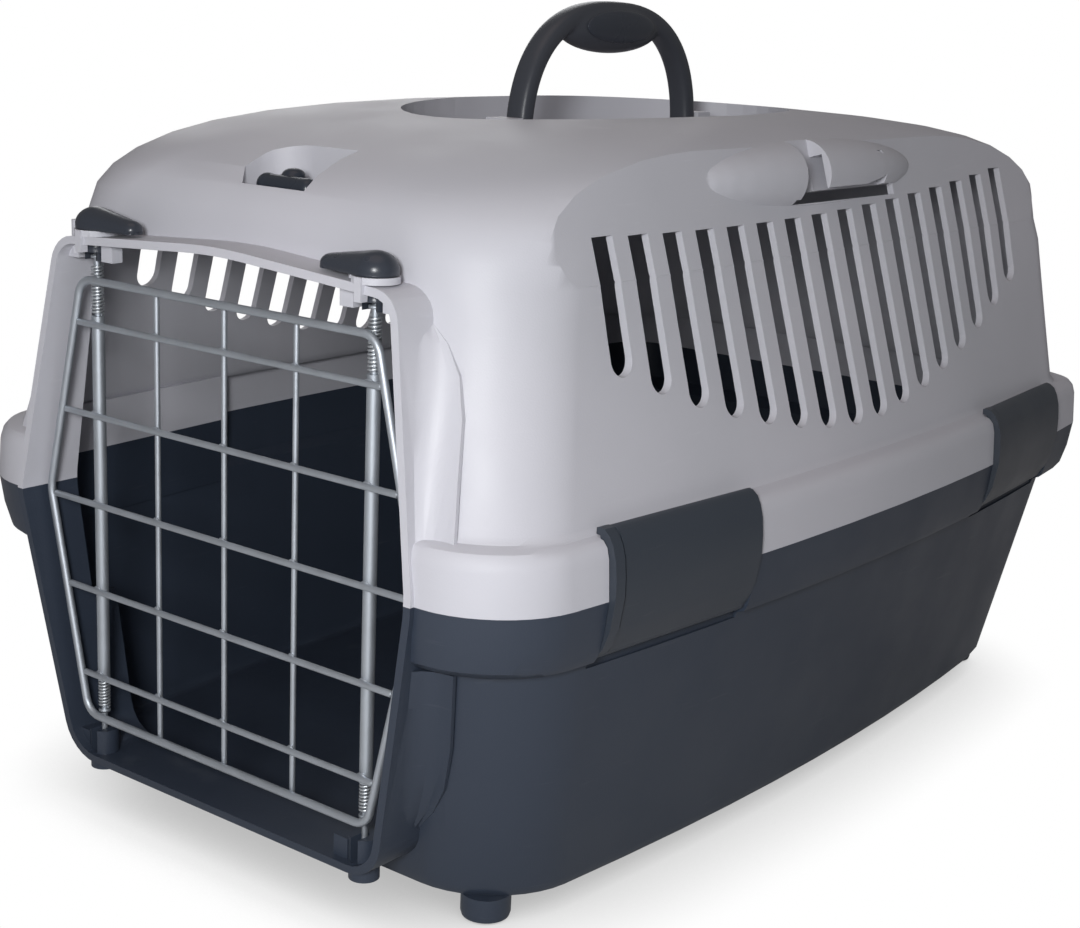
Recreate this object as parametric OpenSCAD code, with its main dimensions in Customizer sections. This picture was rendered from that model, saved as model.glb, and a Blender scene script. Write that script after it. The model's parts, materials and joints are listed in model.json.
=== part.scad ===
// Plastic pet carrier: a dark base tray, a light ventilated top shell, a wire door that swings
// from either side, two door levers, four side clips, a folding carry handle, two strap hooks.
// +Z is up, the door faces -Y, and the origin lies on the floor below the middle. Millimetres.

/* [Body] */
// Length over the rim
body_l = 484; // [454:5:514]
// Width over the rim, at the middle of the long sides
body_w = 320; // [310:2:340]
// Height of the middle of the roof above the floor
roof_z = 288; // [284:1:300]
// Height of the seam between base tray and top shell
seam_z = 132; // [130:1:135]
// Wall thickness of the base tray and the top shell
wall = 3; // [2.6:0.1:3.4]
// How far the long sides bow outwards between the corners
side_bow = 16; // [12:1:18]
// Corner radius of the walls, seen from above
corner_r = 38; // [34:1:42]

/* [Rim] */
// Height of the dark half of the rim, below the seam
rim_low_h = 24; // [22:1:26]
// Height of the light half of the rim, above the seam
rim_high_h = 22; // [20:1:24]
// How far the rounded top edge of the rim runs in
rim_taper = 5.5; // [4.5:0.5:7]
// How far the dark half of the rim draws in from the seam to its lower edge
rim_draw = 3.5; // [2.5:0.5:4.5]
// Corner radius of the rim at the front
rim_r = 34; // [30:1:36]
// How much tighter the rim's rear corners are
rim_tight = 12; // [8:1:14]
// Width of the flat shelf on top of the rim
shelf_w = 7; // [6.5:0.5:8.5]

/* [Base tray] */
// Height of the feet, and of the underside of the tray
foot_h = 8; // [6:1:10]
// Diameter of a foot
foot_d = 19; // [16:1:22]
// How far the tray's sides draw in from the rim to the floor
tray_draw = 17; // [14:1:20]
// Step under the rim
rim_step = 5; // [4:0.5:6]

/* [Top shell] */
// Lean of the side walls: sideways run for each millimetre of height
side_lean = 0.31; // [0.28:0.01:0.34]
// Lean of the end walls
end_lean = 0.17; // [0.14:0.01:0.18]
// How far the roof sits behind the middle of the base
roof_back = 3; // [0:0.5:4]
// Height of the rounded shoulder below the roof
shoulder_h = 63; // [58:1:66]
// Bulge of the shoulder beyond the flat vent panels
shoulder_bulge = 8; // [6:0.5:9]

/* [Vents] */
// Number of vent slots on each side
slot_n = 16; // [12:1:16]
// Distance from one slot to the next
slot_pitch = 21.6; // [20:0.2:21.8]
// Width of a slot
slot_w = 12.4; // [10:0.2:13]
// Height of the lowest slot end above the rim's shelf
slot_low = 11.5; // [10:0.5:14]
// How far the field of slots sits behind the middle of the carrier
slot_back = 3; // [0:0.5:4]
// Rise of the slots' lower ends from the middle to the outermost slot
slot_rise = 38; // [30:1:42]

/* [Door] */
// Distance between the two hinge rods
rod_gap = 147.4; // [144:0.2:150]
// Diameter of the door's upright tubes
tube_d = 5; // [4.8:0.1:5.4]
// Diameter of the hinge rods inside the tubes
rod_d = 2.4; // [2.2:0.1:2.6]
// Diameter of the frame wire
frame_d = 3.2; // [3:0.1:3.6]
// Diameter of the horizontal wires
cross_d = 2.5; // [2.2:0.1:2.8]
// Diameter of the thin upright wires
thin_d = 2.2; // [2:0.1:2.6]
// Number of horizontal wires
cross_n = 5; // [4:1:6]
// Distance between horizontal wires
cross_pitch = 36.3; // [34:0.1:37]
// Distance between the thin upright wires
thin_pitch = 37.4; // [35:0.1:39]
// Half the width of the door at the seam
door_half_mid = 100; // [98:0.5:102]
// Half the width of the door at its top and bottom bars
door_half_end = 78.5; // [77:0.5:80]
// Height of the door between its top and bottom bars
door_h = 180; // [178:1:182]
// Depth of the rim around the door opening
jamb_depth = 27; // [26:1:29]
// Gap between the door frame and the rim of the opening, at the seam
door_gap = 2.4; // [2:0.2:4]
// Diameter of the spring wire
spring_wire = 0.9; // [0.8:0.05:0.9]
// Distance from one turn of a spring to the next
spring_pitch = 2.2; // [2:0.1:2.6]

/* [Levers] */
// Diameter of a lever's round knob
knob_d = 16; // [15:0.5:16.5]
// Length of a lever's arm from its axis
arm_l = 25; // [20:1:28]
// Diameter of the lever's shaft
shaft_d = 9.2; // [9:0.1:9.6]

/* [Clips] */
// Length of a side clip along the rim
clip_l = 86; // [70:1:90]
// Distance of a clip's middle from the end of the rim
clip_end = 96; // [90:1:105]
// Thickness of a clip
clip_t = 2.8; // [2.4:0.1:3]
// Diameter of a clip's hinge pins
clip_pin_d = 3.2; // [3:0.1:3.6]

/* [Handle] */
// Width of the handle over its legs
handle_w = 133; // [130:1:140]
// Height of the handle above its hinge axis
handle_h = 62.5; // [58:0.5:63]
// Width of the handle's grip
grip_w = 17; // [15:1:20]
// Thickness of the handle's grip
grip_t = 21; // [18:0.5:22]
// Diameter of the handle's hinge stubs
stub_d = 6; // [5:0.5:7]
// Half the length of the oval recess in the roof
recess_half_l = 116; // [110:1:120]
// Half the width of the oval recess
recess_half_w = 66; // [64:1:70]
// Depth of the recess below the middle of the roof
recess_depth = 31; // [30:1:34]

/* [Fits] */
// Radial clearance of a running fit
fit = 0.05; // [0.03:0.01:0.1]
// Gap between pieces that pass one another
gap = 0.3; // [0.25:0.05:0.4]

/* [Hidden] */
$fn = 48;

light = [0.80, 0.79, 0.78];
dark = [0.24, 0.27, 0.32];
zinc = [0.68, 0.72, 0.76];
eps = 0.01;
touch = 0.05;

// ---- levels and half sizes of the shells
half_l = body_l / 2;
half_w = body_w / 2;
rim_low_z = seam_z - rim_low_h;
shelf_z = seam_z + rim_high_h;
shelf_edge = rim_taper;
wall_in = shelf_edge + shelf_w;
shoulder_z = roof_z - shoulder_h;
tray_in = rim_draw + rim_step;
floor_z = foot_h;
upper_bow = side_bow * 0.65;
bow_end_z = shoulder_z + 11;
rear_tight = 14;
crown_back = 5;

function lerp(a, b, t) = a + (b - a) * t;
function clamp01(t) = max(0, min(1, t));
function smooth(t) = let (c = clamp01(t)) c * c * (3 - 2 * c);

// A station is [z, half width, half length, corner radius, bow, tilt of the surface normal,
// how much tighter its rear corners are].
// half width of the flat vent panel at height z
function panel_x(z) = half_w - wall_in - side_lean * (z - shelf_z);
function end_y(z) = half_l - 6 - end_lean * (min(z, shoulder_z) - shelf_z);
function bow_at(z) = upper_bow * clamp01((bow_end_z - z) / (bow_end_z - shelf_z));
function back_at(z) = roof_back * clamp01((z - shelf_z) / (shoulder_z - shelf_z))
    + crown_back * clamp01((z - shoulder_z) / (roof_z - shoulder_z));
// how much tighter the rear corners are than the front ones
function tight_at(z) = rear_tight * clamp01((z - shelf_z) / (shoulder_z - shelf_z))
    * clamp01((roof_z - z) / (roof_z - shoulder_z));
function upper_r(z) = lerp(corner_r - 2, corner_r + 1, clamp01((z - shelf_z) / (shoulder_z - shelf_z)));

wall_steps = 5;
roof_steps = 13;
rim_stations = [
    [seam_z, half_w, half_l - 1, rim_r, side_bow, 0, rim_tight],
    [shelf_z - 7, half_w - 1, half_l - 1.4, rim_r, side_bow, 6, rim_tight],
    [shelf_z - 3, half_w - 2, half_l - 2.2, rim_r, side_bow, 30, rim_tight],
    [shelf_z - 0.9, half_w - 3.8, half_l - 3.6, rim_r - 1, side_bow, 60, rim_tight],
    [shelf_z, half_w - rim_taper - 1, half_l - 5.4, rim_r - 1, side_bow, 85, rim_tight - 1],
    [shelf_z + 0.6, half_w - wall_in + 1.5, half_l - 6 - shelf_w * 0.3, corner_r - 2, upper_bow, 70, 0]
];
wall_stations = [for (i = [0:wall_steps]) let (z = lerp(shelf_z + 3, shoulder_z, i / wall_steps))
    [z, panel_x(z), end_y(z) - shelf_w * 0.35, upper_r(z), bow_at(z), 15, tight_at(z)]];
roof_stations = [for (i = [1:roof_steps - 1])
    let (v = 1 - pow(1 - i / roof_steps, 2.2), z = lerp(shoulder_z, roof_z, v),
         bulge = shoulder_bulge * smooth((v - 0.16) / 0.36),
         a = (panel_x(z) + bulge) * pow(1 - pow(v, 10), 0.3),
         b = (end_y(shoulder_z) - shelf_w * 0.35) * pow(1 - pow(v, 4.5), 0.4),
         r = min(lerp(corner_r + 1, 76, pow(v, 1.3)), 0.92 * min(a, b)))
    [z, a, b, r, bow_at(z), 15 + 75 * pow(v, 2.5), tight_at(z)]];
top_stations = concat(rim_stations, wall_stations, roof_stations);

tray_a = half_w - tray_in;
tray_b = half_l - 12;
tray_bottom_a = tray_a - tray_draw;
tray_bottom_b = tray_b - tray_draw - 4;
tray_stations = [
    [floor_z, tray_bottom_a - 7, tray_bottom_b - 7, corner_r - 5, side_bow - 3, -90, 0],
    [floor_z + 2, tray_bottom_a - 2, tray_bottom_b - 2, corner_r - 2, side_bow - 3, -50, 0],
    [floor_z + 7, tray_bottom_a + 0.8, tray_bottom_b + 1, corner_r - 1, side_bow - 3, -10, 0],
    [lerp(floor_z, rim_low_z, 0.5), (tray_a + tray_bottom_a) / 2, (tray_b + tray_bottom_b) / 2,
        corner_r, side_bow - 2, 0, 0],
    [rim_low_z - 1, tray_a, tray_b, corner_r, side_bow - 1, 0, 0],
    [rim_low_z + 0.4, tray_a + rim_step - 1.4, tray_b + 5, rim_r, side_bow, -60, rim_tight],
    [rim_low_z + 3, tray_a + rim_step, tray_b + 8, rim_r, side_bow, -15, rim_tight],
    [lerp(rim_low_z, seam_z, 0.5), half_w - rim_draw * 0.4, half_l - 2.2, rim_r, side_bow, 0, rim_tight],
    [seam_z, half_w, half_l - 1, rim_r, side_bow, 0, rim_tight]
];

// ---- lofted shells
corner_steps = 10;
side_steps = 9;
// outline of one station: four corner arcs, with long sides that bow outwards
function station_ring(s) = let (a = s[1] - s[4], b = s[2]) [
    for (q = [0:3])
        for (i = [0:corner_steps + (q % 2 == 1 ? side_steps : 0)])
            let (arc = i <= corner_steps,
                 r = s[3] - (q < 2 ? s[6] : 0),
                 t = q * 90 + (arc ? i : corner_steps) * 90 / corner_steps,
                 sx = (q == 0 || q == 3) ? 1 : -1,
                 sy = q < 2 ? 1 : -1,
                 k = arc ? 0 : (i - corner_steps) / (side_steps + 1),
                 x = sx * (a - r) + r * cos(t),
                 y0 = sy * (b - r) + r * sin(t),
                 y1 = sy > 0 ? -(b - s[3]) : b - (s[3] - s[6]),
                 y = arc ? y0 : lerp(y0, y1, k),
                 bowed = x * (1 + s[4] / a * (1 - pow(y / b, 2))))
            [bowed, y + back_at(s[0]), s[0]]
];
// the same station moved inwards by t, square to the surface
function inset(s, t) = [s[0] - t * sin(s[5]), s[1] - t * cos(s[5]), s[2] - t * cos(s[5]),
    max(2, s[3] - t * cos(s[5])), s[4], s[5], s[6]];

module loft(stations) {
    n = 4 * (corner_steps + 1) + 2 * side_steps;
    rows = len(stations);
    points = concat([for (s = stations) each station_ring(s)],
                    [[0, 0, stations[0][0]], [0, 0, stations[rows - 1][0]]]);
    low = rows * n;
    skin = [for (j = [0:rows - 2]) for (i = [0:n - 1])
        let (a = j * n + i, b = j * n + (i + 1) % n, c = b + n, d = a + n) each [[a, d, c], [a, c, b]]];
    bottom = [for (i = [0:n - 1]) [low, i, (i + 1) % n]];
    top = [for (i = [0:n - 1]) [low + 1, (rows - 1) * n + (i + 1) % n, (rows - 1) * n + i]];
    polyhedron(points, concat(skin, bottom, top), convexity = 6);
}

// keeps what lies inside the flat vent panels, which lean inwards above the shoulder
module inside_panels(t) {
    low = bow_end_z;
    high = roof_z + 20;
    rotate([90, 0, 0])
        linear_extrude(body_l + 40, center = true)
            polygon([[-body_w, 0], [body_w, 0], [body_w, low], [panel_x(low) - t, low],
                     [panel_x(high) - t, high], [-panel_x(high) + t, high], [-panel_x(low) + t, low],
                     [-body_w, low]]);
}

module top_outside() {
    intersection() {
        loft(top_stations);
        inside_panels(0);
    }
}

module top_cavity() {
    inner = [for (s = top_stations) inset(s, wall)];
    below = [[seam_z - 1, inner[0][1], inner[0][2], inner[0][3], inner[0][4], 0, inner[0][6]]];
    intersection() {
        loft(concat(below, inner));
        inside_panels(wall);
    }
}

module tray_cavity() {
    inner = [for (s = tray_stations) inset(s, wall)];
    last = inner[len(inner) - 1];
    loft(concat(inner, [[seam_z + 1, last[1], last[2], last[3], last[4], 0, last[6]]]));
}

// ---- rounded outlines
// corner i of outline p, rounded with radius r[i]
function corner_arc(p, r, i) =
    let (n = len(p), v = p[i], a = p[(i + n - 1) % n] - v, b = p[(i + 1) % n] - v,
         ua = a / norm(a), ub = b / norm(b), half = acos(max(-1, min(1, ua * ub))) / 2,
         d = r[i] / tan(half), mid = (ua + ub) / norm(ua + ub), c = v + mid * (r[i] / sin(half)),
         p0 = v + ua * d - c, side = sign(ua[0] * ub[1] - ua[1] * ub[0]),
         turn = (180 - 2 * half) * -side, steps = 6)
    [for (k = [0:steps]) let (t = turn * k / steps)
        [c[0] + p0[0] * cos(t) - p0[1] * sin(t), c[1] + p0[0] * sin(t) + p0[1] * cos(t)]];
function rounded(p, r) = [for (i = [0:len(p) - 1]) each corner_arc(p, r, i)];

// ---- door sizes
rod_x = rod_gap / 2;
rod_y = -(half_l - 14.5);
jamb_front_y = rod_y - 15.5;
jamb_low_y = jamb_front_y + 8;
jamb_high_y = jamb_front_y + 8;
jamb_back_y = jamb_front_y + jamb_depth;
door_mid_z = seam_z - 0.5;
frame_low_z = door_mid_z - door_h / 2 - 2;
frame_high_z = frame_low_z + door_h;
frame_y = rod_y - tube_d / 2 - frame_d / 2 - touch;
cross_y = rod_y - tube_d / 2 - cross_d / 2 - touch;
thin_y = cross_y + cross_d / 2 + thin_d / 2 + touch;
opening_half_mid = door_half_mid + frame_d / 2 + door_gap;
opening_half_low = door_half_end + 4.5;
opening_half_high = door_half_end + 8.5;
opening_low_z = frame_low_z - 16;
opening_high_z = frame_high_z + 14;
opening_arch = 4.5;
jamb_t = 3.2;
jamb_r = 14;
jamb_top_r = 9;

// outline of the door opening, grown by t, in the plane of the door
function opening(t) = rounded([
    [opening_half_mid + t, seam_z],
    [opening_half_high + t * 0.9, opening_high_z - 1 + t * 0.9],
    [0, opening_high_z + opening_arch + t],
    [-opening_half_high - t * 0.9, opening_high_z - 1 + t * 0.9],
    [-opening_half_mid - t, seam_z],
    [-opening_half_low - t * 0.9, opening_low_z - t],
    [opening_half_low + t * 0.9, opening_low_z - t]
], [30, jamb_top_r + t, 260, jamb_top_r + t, 30, jamb_r + t, jamb_r + t]);

// a solid with this outline that runs through the front wall from y0 to y1
module door_prism(t, y0, y1) {
    translate([0, y1, 0])
        rotate([90, 0, 0])
            linear_extrude(y1 - y0)
                polygon(opening(t));
}

module half_space(z0, z1) {
    translate([-body_w, -body_l, z0])
        cube([2 * body_w, 2 * body_l, z1 - z0]);
}

module door_jamb(z0, z1) {
    intersection() {
        difference() {
            door_prism(jamb_t, jamb_front_y, jamb_back_y);
            door_prism(0, jamb_front_y - 1, jamb_back_y + 1);
        }
        half_space(z0, z1);
        jamb_side();
    }
}

// ---- fillets beside the door, where the front wall flares out to the rim of the opening
// outer half width of the rim of the opening at height z
function lip_x(z) = jamb_t * 0.9 + (z < seam_z
    ? lerp(opening_half_mid, opening_half_low, (seam_z - z) / (seam_z - opening_low_z))
    : lerp(opening_half_mid, opening_half_high, (z - seam_z) / (opening_high_z - 1 - seam_z)));
// front face of the rim of the opening at height z
function lip_y(z) = z < seam_z
    ? lerp(jamb_front_y, jamb_low_y, (seam_z - z) / (seam_z - opening_low_z))
    : lerp(jamb_front_y, jamb_high_y, (z - seam_z) / (opening_high_z - seam_z));
// half width, half length and corner radius of the walls at height z
function wall_at(z) = z > seam_z ? [panel_x(z), end_y(z) - shelf_w * 0.35 - back_at(z), upper_r(z)]
    : let (mid_z = lerp(floor_z, rim_low_z, 0.5), up = z > mid_z,
           t = up ? (z - mid_z) / (rim_low_z - 1 - mid_z) : (z - floor_z - 7) / (mid_z - floor_z - 7),
           mid_b = (tray_b + tray_bottom_b) / 2, mid_a = (tray_a + tray_bottom_a) / 2)
        up ? [lerp(mid_a, tray_a, t), lerp(mid_b, tray_b, t), corner_r]
           : [lerp(tray_bottom_a + 0.8, mid_a, t), lerp(tray_bottom_b + 1, mid_b, t), corner_r];
// front wall at height z and distance x from the middle
function wall_y(z, x) = let (w = wall_at(z), dx = max(0, x - w[0] + w[2]))
    -w[1] + w[2] - sqrt(w[2] * w[2] - dx * dx);

flare_steps = 5;
// how deep a fillet's front edge lies inside the rim of the opening
flare_sink = 0.6;
// one horizontal section of a fillet that reaches f sideways from the rim of the opening
function flare_ring(z, f) = let (x0 = lip_x(z) - flare_sink, y0 = lip_y(z) + 1, x2 = x0 + f, y2 = wall_y(z, x2) + 0.2,
                                 x1 = x0 + f * 0.1, y1 = wall_y(z, x0) + 0.2)
    concat([[x0 - 1.4, y0, z]],
           [for (i = [0:flare_steps]) let (t = i / flare_steps, a = (1 - t) * (1 - t), b = 2 * t * (1 - t), c = t * t)
               [a * x0 + b * x1 + c * x2, a * y0 + b * y1 + c * y2, z]],
           [[x2, y2 + 1.6, z], [x0 - 1.4, y1 + 1.6, z]]);

module door_flare(levels) {
    n = flare_steps + 4;
    rows = len(levels);
    points = [for (l = levels) each flare_ring(l[0], l[1])];
    skin = [for (j = [0:rows - 2]) for (i = [0:n - 1])
        let (a = j * n + i, b = j * n + (i + 1) % n, c = b + n, d = a + n) each [[a, d, c], [a, c, b]]];
    ends = [[for (i = [0:n - 1]) i], [for (i = [n - 1:-1:0]) (rows - 1) * n + i]];
    for (m = [0, 1])
        mirror([m, 0, 0])
            polyhedron(points, concat(skin, ends), convexity = 4);
}

flare_w = 14;
low_flare = [[opening_low_z + 12, 0], [opening_low_z + 22, flare_w * 0.5], [opening_low_z + 34, flare_w * 0.85],
             [opening_low_z + 52, flare_w], [opening_low_z + 68, flare_w], [rim_low_z - 1.5, flare_w]];
high_flare = [[shelf_z - 1.2, flare_w], [shelf_z + 20, flare_w], [shelf_z + 40, flare_w], [shelf_z + 54, flare_w * 0.85],
              [shelf_z + 64, flare_w * 0.5], [shoulder_z - 1, 1]];

// side view of the rim of the door opening: its front face leans back from the seam both ways
module jamb_side() {
    low = opening_low_z - 20;
    high = opening_high_z + 20;
    low_t = (seam_z - low) / (seam_z - opening_low_z);
    high_t = (high - seam_z) / (opening_high_z - seam_z);
    rotate([90, 0, 90])
        linear_extrude(2 * body_w, center = true)
            polygon([[lerp(jamb_front_y, jamb_low_y, low_t), low], [0, low], [0, high],
                     [lerp(jamb_front_y, jamb_high_y, high_t), high], [jamb_front_y, seam_z]]);
}

// ---- clips: local x points outwards from the rim at the seam, local y runs along the rim
clip_y = half_l - clip_end;
clip_angle = atan(2 * side_bow * clip_y / pow(half_l - 1, 2));
clip_x = half_w - side_bow * pow(clip_y / (half_l - 1), 2);
clip_axis_x = -8.2;
clip_axis_z = rim_low_z + 3.6;
barrel_r = 2.7;
pin_l = 3;
pocket_l = clip_l + 2 * gap;
pocket_wall = 4.5;
pocket_deep = clip_t + 1.5;

// places its children at clip (x side, y side) and mirrors them for the left and the rear
module at_clip(sx, sy) {
    mirror([sx < 0 ? 1 : 0, 0, 0])
        translate([clip_x, sy * clip_y, 0])
            rotate([0, 0, sy * clip_angle])
                children();
}

// outer line of the clip from its hinge to its top edge, pushed outwards by t
function clip_line(t) = [
    [clip_axis_x + barrel_r + t * 0.6, clip_axis_z - 0.5],
    [-3.6 + t, clip_axis_z + 3],
    [-1 + t, lerp(rim_low_z, seam_z, 0.55)],
    [0.9 + t, seam_z + 1],
    [0.8 + t, seam_z + 8],
    [0.1 + t, seam_z + 15],
    [-1.3 + t * 0.9, shelf_z - 2.2],
    [-3 + t * 0.7, shelf_z + 1],
    [-5.2 + t * 0.5, shelf_z + gap + clip_t - 0.4 + t * 0.3]
];
shelf_end_x = -(rim_taper + 2.7);
function clip_outline(t) = concat(clip_line(t), [
    [-7, shelf_z + gap + clip_t + t * 0.3],
    [shelf_end_x, shelf_z + gap + clip_t - 0.4 + t * 0.3],
    [shelf_end_x, shelf_z + gap + 0.4],
    [-rim_taper - 1, shelf_z + gap + 0.2],
    [-3 - clip_t, shelf_z - 2],
    [-0.8 - clip_t, seam_z + 13],
    [0.7 - clip_t, seam_z + 1],
    [-1.2 - clip_t, lerp(rim_low_z, seam_z, 0.5)],
    [clip_axis_x - barrel_r * 0.5, clip_axis_z + 1.5]
]);

module along_rim(l) {
    rotate([90, 0, 0])
        linear_extrude(l, center = true)
            children();
}

rib_l = 5;
groove_l = 1.6;

module side_clip(sx, sy) {
    rib_y = -clip_l / 2 + rib_l / 2;
    color(dark)
        at_clip(sx, sy) {
            difference() {
                union() {
                    along_rim(clip_l)
                        polygon(clip_outline(0));
                    translate([0, rib_y, 0])
                        along_rim(rib_l)
                            polygon(clip_outline(1.1));
                    translate([clip_axis_x, 0, clip_axis_z])
                        along_rim(clip_l)
                            circle(barrel_r);
                    translate([clip_axis_x, 0, clip_axis_z])
                        along_rim(clip_l + 2 * pin_l)
                            circle(d = clip_pin_d);
                }
                translate([0, rib_y + rib_l / 2 + groove_l / 2, 0])
                    along_rim(groove_l)
                        polygon(concat(clip_line(5), [for (i = [8:-1:0]) clip_line(-0.8)[i]]));
            }
        }
}

// the space that a clip lies in, cut out of both halves of the rim
module clip_pocket(sx, sy) {
    far = 30;
    at_clip(sx, sy) {
        along_rim(pocket_l)
            polygon([
                [far, rim_low_z - 3], [far, shelf_z + 2 * clip_t],
                [-rim_taper - 1.6, shelf_z + 2 * clip_t],
                [-3 - pocket_deep, shelf_z - 2],
                [-0.6 - pocket_deep, seam_z + 13],
                [0.9 - pocket_deep, seam_z + 1],
                [-1 - pocket_deep, lerp(rim_low_z, seam_z, 0.5)],
                [clip_axis_x - barrel_r - gap, clip_axis_z + 2],
                [clip_axis_x - barrel_r - gap, clip_axis_z],
                [clip_axis_x - barrel_r * 0.7 - gap, rim_low_z - 3]
            ]);
        translate([clip_axis_x, 0, clip_axis_z])
            along_rim(clip_l + 2 * pin_l + 2 * gap)
                circle(d = clip_pin_d + 2 * fit);
    }
}

// solid material behind and beside a pocket, kept when the shells are hollowed
module clip_block(sx, sy) {
    at_clip(sx, sy)
        translate([clip_axis_x - barrel_r - gap - wall, -pocket_l / 2 - pocket_wall, rim_low_z - 6])
            cube([40, pocket_l + 2 * pocket_wall, shelf_z - rim_low_z + 5]);
}

module all_clip_places(which) {
    for (sx = [-1, 1], sy = [-1, 1])
        if (which == "pocket") clip_pocket(sx, sy);
        else clip_block(sx, sy);
}

// ---- base tray
foot_x = tray_bottom_a - side_bow + 3 - foot_d / 2 - 7;
foot_y = tray_bottom_b - foot_d / 2 - 5;
socket_r = 5.8;
socket_z = opening_low_z + 10;
rod_low_z = opening_low_z + 0.6;
rod_slot = rod_d + 1.2;

module foot() {
    rotate_extrude()
        polygon([[0, 0], [foot_d / 2 - 2, 0], [foot_d / 2 - 0.5, 0.8], [foot_d / 2, 2.4],
                 [foot_d / 2, foot_h + 2], [0, foot_h + 2]]);
}

module base_tray() {
    color(dark)
        difference() {
            union() {
                difference() {
                    loft(tray_stations);
                    difference() {
                        tray_cavity();
                        all_clip_places("block");
                    }
                    door_prism(jamb_t / 2, jamb_front_y - 20, jamb_back_y + 25);
                }
                door_jamb(0, seam_z);
                door_flare(low_flare);
                sill_web();
                for (sx = [-1, 1]) {
                    translate([sx * rod_x, rod_y, opening_low_z - jamb_t - 3.5])
                        cylinder(r = socket_r, h = socket_z - opening_low_z + jamb_t + 3.5);
                    translate([sx * rod_x - socket_r - 6, rod_y - 4, opening_low_z - 1])
                        cube([7, 5, 9]);
                }
                for (sx = [-1, 1], sy = [-1, 1])
                    translate([sx * foot_x, sy * foot_y, 0])
                        foot();
            }
            all_clip_places("pocket");
            for (sx = [-1, 1])
                rod_way(sx, rod_low_z - gap, socket_z + 1);
        }
}

// the floor of the door opening, from the front rim back to the tray's front wall
module sill_web() {
    sill_y = -(tray_bottom_b - 2);
    difference() {
        intersection() {
            door_prism(jamb_t, jamb_front_y, sill_y + wall);
            half_space(0, opening_low_z + 60);
            jamb_side();
        }
        door_prism(0, jamb_front_y - 1, sill_y + wall + 1);
    }
}

// bore for a rod's end with a slot to the front, through which the rod leaves
module rod_way(sx, z0, z1) {
    translate([sx * rod_x, rod_y, z0]) {
        cylinder(d = rod_slot, h = z1 - z0);
        translate([-rod_slot / 2, -20, 0])
            cube([rod_slot, 20, z1 - z0]);
    }
}

// ---- top shell
slot_span = (slot_n - 1) * slot_pitch / 2;
slot_top_z = shelf_z + 97;
guide_z = slot_top_z + 15;
guide_r = 14.5;
guide_half_l = 90;
guide_y = -4;
guide_x = panel_x(guide_z) - 5;

slot_tilt = 5;
function slot_low_z(y) = shelf_z + slot_low + slot_rise * pow(abs(y) / slot_span, 1.8)
    + slot_tilt * max(0, y) / slot_span;
function slot_high_z(y) = slot_top_z + 6 * pow(y / slot_span, 2) + slot_tilt * y / slot_span;

module vent_slot(y) {
    low = slot_low_z(y) + slot_w / 2;
    translate([-body_w, y + slot_back, 0])
        rotate([90, 0, 90])
            linear_extrude(2 * body_w) {
                translate([-slot_w / 2, low])
                    square([slot_w, slot_high_z(y) - low]);
                translate([0, low])
                    circle(d = slot_w);
            }
}

// almond-shaped belt guide on a side wall, a solid of revolution about a line along y
module belt_guide() {
    steps = 18;
    translate([guide_x, guide_y, guide_z])
        rotate([90, 0, 0])
            rotate_extrude()
                polygon([for (i = [0:steps]) let (y = guide_half_l * sin(lerp(-90, 90, i / steps)))
                    [guide_r * pow(max(0, 1 - pow(abs(y) / guide_half_l, 2.2)), 0.6), y]]);
}

belt_slot_t = 6;
belt_gap_y = 26;
belt_gap_l = 18;
belt_end_y = 45;
belt_hole_y = 60;
belt_low = -11.3;
belt_high = -6.5;
belt_top = 7.5;
// the way of a belt: a gap between the two halves of the guide, a channel behind the rear half,
// and a hole through the wall along the channel's lower edge
module belt_channel() {
    x = panel_x(guide_z);
    lean = atan(side_lean);
    gap_end = belt_gap_l - belt_gap_y;
    translate([x, 0, guide_z])
        rotate([0, -lean, 0]) {
            translate([0.4, -belt_gap_y, belt_low])
                cube([belt_slot_t, belt_gap_y + belt_end_y, belt_top - belt_low]);
            translate([0.4, -belt_gap_y, -guide_r - 8])
                cube([30, belt_gap_l, guide_r * 2 + 16]);
            translate([0.4, gap_end - 1, -guide_r - 8])
                cube([30, guide_half_l, guide_r + 8 + belt_high]);
            translate([-wall * 2, -belt_gap_y - 3, belt_low])
                cube([wall * 2 + 3.4, belt_gap_y + 3 + belt_hole_y, belt_high - belt_low]);
            translate([-wall * 2, -belt_gap_y + 2, belt_low])
                cube([wall * 2 + 1, belt_gap_l - 4, 3 - belt_low]);
        }
}

function recess_outline(t) = [for (i = [0:47]) let (a = i * 7.5)
    [(recess_half_w + t) * cos(a), (recess_half_l + t) * sin(a)]];
recess_floor_z = roof_z - recess_depth;
hinge_z = roof_z - 18;
hinge_block_y = handle_w / 2 + gap;
hinge_block_l = 10;
hinge_block_w = 12;
hinge_block_h = 13;
stub_l = 7;

module handle_recess(t, z0, z1) {
    translate([0, 0, z0])
        linear_extrude(z1 - z0)
            polygon(recess_outline(t));
}

module hinge_blocks() {
    for (sy = [-1, 1])
        translate([-hinge_block_w / 2, sy > 0 ? hinge_block_y : -hinge_block_y - hinge_block_l, recess_floor_z - 1])
            cube([hinge_block_w, hinge_block_l, hinge_z + hinge_block_h + 1 - recess_floor_z]);
}

// pockets for the strap hooks in the front and rear slopes of the roof
pocket_y = end_y(shoulder_z) - 33;
pocket_half_w = 19;
pocket_half_l = 17;
pocket_floor_z = roof_z - 34;

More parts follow.
